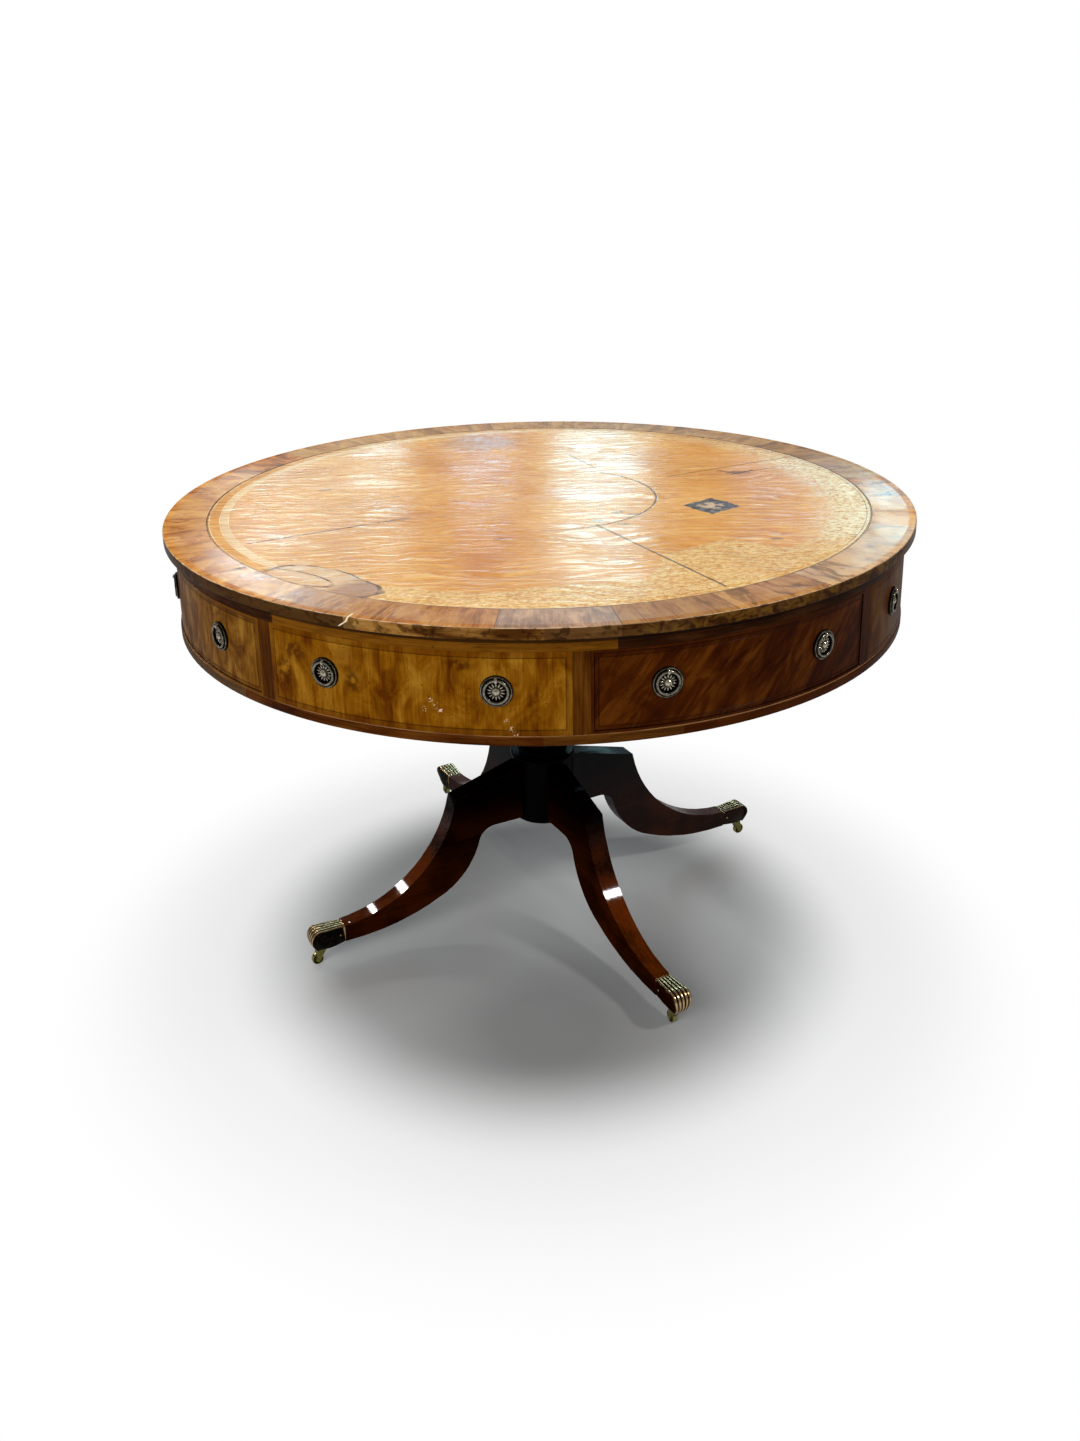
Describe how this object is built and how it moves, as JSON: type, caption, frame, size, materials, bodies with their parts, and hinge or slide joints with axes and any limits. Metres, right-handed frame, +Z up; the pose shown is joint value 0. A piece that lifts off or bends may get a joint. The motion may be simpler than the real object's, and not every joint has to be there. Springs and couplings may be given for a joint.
{
  "type": "drum table",
  "caption": "Round writing table with a leather top on a revolving drum of bowed drawers and dummy fronts, on a turned column with splayed, capped legs on casters.",
  "frame": {"origin": "on the floor, under the column's axis", "axes": "+Z up along the column; legs and real drawers lie along +X, +Y, -X and -Y, and dummy fronts lie between them"},
  "size_m": [1.22, 1.22, 0.76],
  "materials": {
    "leather": "tooled and polished, aged tan",
    "crossband": "polished mahogany veneer, grain across the border",
    "mahogany": "french-polished solid mahogany",
    "figured_mahogany": "french-polished figured mahogany veneer",
    "carcase_wood": "plain softwood, unfinished",
    "drawer_lining": "plain oak, waxed",
    "aged_brass": "aged, rubbed on the high spots",
    "iron": "dark, lightly oiled"
  },
  "bodies": {
    "pedestal": {"column": "mahogany", "platform": "mahogany", "bearing_ring": "iron", "spindle": "iron", "spindle_collar": "iron", "toe_caps": "aged_brass", "leg_right": "mahogany", "leg_back": "mahogany", "leg_left": "mahogany", "leg_front": "mahogany"},
    "drum": {"leather_top": "leather", "top_board": "mahogany", "top_crossband": "crossband", "edge_band": "mahogany", "top_rail": "mahogany", "base_rail": "mahogany", "base_board": "carcase_wood", "dummy_fronts": "figured_mahogany", "frieze_stiles": "mahogany", "drawer_guides": "carcase_wood", "hub_frame": "carcase_wood", "hub_block": "carcase_wood", "hub_bush": "iron", "dummy_plates": "aged_brass"},
    "drawer_right": {"drawer_right_front": "figured_mahogany", "drawer_right_tray": "drawer_lining", "drawer_right_plates": "aged_brass"},
    "ring_drawer_right_left": {"ring_drawer_right_left": "aged_brass"},
    "ring_drawer_right_right": {"ring_drawer_right_right": "aged_brass"},
    "drawer_back": {"drawer_back_front": "figured_mahogany", "drawer_back_tray": "drawer_lining", "drawer_back_plates": "aged_brass"},
    "ring_drawer_back_left": {"ring_drawer_back_left": "aged_brass"},
    "ring_drawer_back_right": {"ring_drawer_back_right": "aged_brass"},
    "drawer_left": {"drawer_left_front": "figured_mahogany", "drawer_left_tray": "drawer_lining", "drawer_left_plates": "aged_brass"},
    "ring_drawer_left_left": {"ring_drawer_left_left": "aged_brass"},
    "ring_drawer_left_right": {"ring_drawer_left_right": "aged_brass"},
    "drawer_front": {"drawer_front_front": "figured_mahogany", "drawer_front_tray": "drawer_lining", "drawer_front_plates": "aged_brass"},
    "ring_drawer_front_left": {"ring_drawer_front_left": "aged_brass"},
    "ring_drawer_front_right": {"ring_drawer_front_right": "aged_brass"},
    "ring_dummy_back_right_left": {"ring_dummy_back_right_left": "aged_brass"},
    "ring_dummy_back_right_right": {"ring_dummy_back_right_right": "aged_brass"},
    "ring_dummy_back_left_left": {"ring_dummy_back_left_left": "aged_brass"},
    "ring_dummy_back_left_right": {"ring_dummy_back_left_right": "aged_brass"},
    "ring_dummy_front_left_left": {"ring_dummy_front_left_left": "aged_brass"},
    "ring_dummy_front_left_right": {"ring_dummy_front_left_right": "aged_brass"},
    "ring_dummy_front_right_left": {"ring_dummy_front_right_left": "aged_brass"},
    "ring_dummy_front_right_right": {"ring_dummy_front_right_right": "aged_brass"},
    "caster_right": {"caster_right_horn": "aged_brass"},
    "roller_right": {"caster_right_wheel": "aged_brass"},
    "caster_back": {"caster_back_horn": "aged_brass"},
    "roller_back": {"caster_back_wheel": "aged_brass"},
    "caster_left": {"caster_left_horn": "aged_brass"},
    "roller_left": {"caster_left_wheel": "aged_brass"},
    "caster_front": {"caster_front_horn": "aged_brass"},
    "roller_front": {"caster_front_wheel": "aged_brass"}
  },
  "joints": [
    {"name": "drum_turn", "type": "hinge", "parent": "pedestal", "child": "drum", "pos_m": [0, 0, 0.59], "axis": [0, 0, 1], "continuous": true},
    {"name": "drawer_right_slide", "type": "slide", "parent": "drum", "child": "drawer_right", "axis": [1, 0, 0], "range_m": [0, 0.27]},
    {"name": "ring_drawer_right_left_swing", "type": "hinge", "parent": "drawer_right", "child": "ring_drawer_right_left", "pos_m": [0.58427, -0.12739, 0.6845], "axis": [-0.213, -0.977, 0], "range_deg": [0, 125]},
    {"name": "ring_drawer_right_right_swing", "type": "hinge", "parent": "drawer_right", "child": "ring_drawer_right_right", "pos_m": [0.58427, 0.12739, 0.6845], "axis": [0.213, -0.977, 0], "range_deg": [0, 125]},
    {"name": "drawer_back_slide", "type": "slide", "parent": "drum", "child": "drawer_back", "axis": [0, 1, 0], "range_m": [0, 0.27]},
    {"name": "ring_drawer_back_left_swing", "type": "hinge", "parent": "drawer_back", "child": "ring_drawer_back_left", "pos_m": [0.12739, 0.58427, 0.6845], "axis": [0.977, -0.213, 0], "range_deg": [0, 125]},
    {"name": "ring_drawer_back_right_swing", "type": "hinge", "parent": "drawer_back", "child": "ring_drawer_back_right", "pos_m": [-0.12739, 0.58427, 0.6845], "axis": [0.977, 0.213, 0], "range_deg": [0, 125]},
    {"name": "drawer_left_slide", "type": "slide", "parent": "drum", "child": "drawer_left", "axis": [-1, 0, 0], "range_m": [0, 0.27]},
    {"name": "ring_drawer_left_left_swing", "type": "hinge", "parent": "drawer_left", "child": "ring_drawer_left_left", "pos_m": [-0.58427, 0.12739, 0.6845], "axis": [0.213, 0.977, 0], "range_deg": [0, 125]},
    {"name": "ring_drawer_left_right_swing", "type": "hinge", "parent": "drawer_left", "child": "ring_drawer_left_right", "pos_m": [-0.58427, -0.12739, 0.6845], "axis": [-0.213, 0.977, 0], "range_deg": [0, 125]},
    {"name": "drawer_front_slide", "type": "slide", "parent": "drum", "child": "drawer_front", "axis": [0, -1, 0], "range_m": [0, 0.27]},
    {"name": "ring_drawer_front_left_swing", "type": "hinge", "parent": "drawer_front", "child": "ring_drawer_front_left", "pos_m": [-0.12739, -0.58427, 0.6845], "axis": [-0.977, 0.213, 0], "range_deg": [0, 125]},
    {"name": "ring_drawer_front_right_swing", "type": "hinge", "parent": "drawer_front", "child": "ring_drawer_front_right", "pos_m": [0.12739, -0.58427, 0.6845], "axis": [-0.977, -0.213, 0], "range_deg": [0, 125]},
    {"name": "ring_dummy_back_right_left_swing", "type": "hinge", "parent": "drum", "child": "ring_dummy_back_right_left", "pos_m": [0.4995, 0.33061, 0.6845], "axis": [0.5519, -0.8339, 0], "range_deg": [0, 125]},
    {"name": "ring_dummy_back_right_right_swing", "type": "hinge", "parent": "drum", "child": "ring_dummy_back_right_right", "pos_m": [0.33061, 0.4995, 0.6845], "axis": [0.8339, -0.5519, 0], "range_deg": [0, 125]},
    {"name": "ring_dummy_back_left_left_swing", "type": "hinge", "parent": "drum", "child": "ring_dummy_back_left_left", "pos_m": [-0.33061, 0.4995, 0.6845], "axis": [0.8339, 0.5519, 0], "range_deg": [0, 125]},
    {"name": "ring_dummy_back_left_right_swing", "type": "hinge", "parent": "drum", "child": "ring_dummy_back_left_right", "pos_m": [-0.4995, 0.33061, 0.6845], "axis": [0.5519, 0.8339, 0], "range_deg": [0, 125]},
    {"name": "ring_dummy_front_left_left_swing", "type": "hinge", "parent": "drum", "child": "ring_dummy_front_left_left", "pos_m": [-0.4995, -0.33061, 0.6845], "axis": [-0.5519, 0.8339, 0], "range_deg": [0, 125]},
    {"name": "ring_dummy_front_left_right_swing", "type": "hinge", "parent": "drum", "child": "ring_dummy_front_left_right", "pos_m": [-0.33061, -0.4995, 0.6845], "axis": [-0.8339, 0.5519, 0], "range_deg": [0, 125]},
    {"name": "ring_dummy_front_right_left_swing", "type": "hinge", "parent": "drum", "child": "ring_dummy_front_right_left", "pos_m": [0.33061, -0.4995, 0.6845], "axis": [-0.8339, -0.5519, 0], "range_deg": [0, 125]},
    {"name": "ring_dummy_front_right_right_swing", "type": "hinge", "parent": "drum", "child": "ring_dummy_front_right_right", "pos_m": [0.4995, -0.33061, 0.6845], "axis": [-0.5519, -0.8339, 0], "range_deg": [0, 125]},
    {"name": "caster_right_swivel", "type": "hinge", "parent": "pedestal", "child": "caster_right", "pos_m": [0.4305, 0, 0.025], "axis": [0, 0, 1], "continuous": true},
    {"name": "caster_right_roll", "type": "hinge", "parent": "caster_right", "child": "roller_right", "pos_m": [0.4405, 0, 0.01], "axis": [0, 1, 0], "continuous": true},
    {"name": "caster_back_swivel", "type": "hinge", "parent": "pedestal", "child": "caster_back", "pos_m": [0, 0.4305, 0.025], "axis": [0, 0, 1], "continuous": true},
    {"name": "caster_back_roll", "type": "hinge", "parent": "caster_back", "child": "roller_back", "pos_m": [0, 0.4405, 0.01], "axis": [-1, 0, 0], "continuous": true},
    {"name": "caster_left_swivel", "type": "hinge", "parent": "pedestal", "child": "caster_left", "pos_m": [-0.4305, 0, 0.025], "axis": [0, 0, 1], "continuous": true},
    {"name": "caster_left_roll", "type": "hinge", "parent": "caster_left", "child": "roller_left", "pos_m": [-0.4405, 0, 0.01], "axis": [0, -1, 0], "continuous": true},
    {"name": "caster_front_swivel", "type": "hinge", "parent": "pedestal", "child": "caster_front", "pos_m": [0, -0.4305, 0.025], "axis": [0, 0, 1], "continuous": true},
    {"name": "caster_front_roll", "type": "hinge", "parent": "caster_front", "child": "roller_front", "pos_m": [0, -0.4205, 0.01], "axis": [1, 0, 0], "continuous": true}
  ]
}
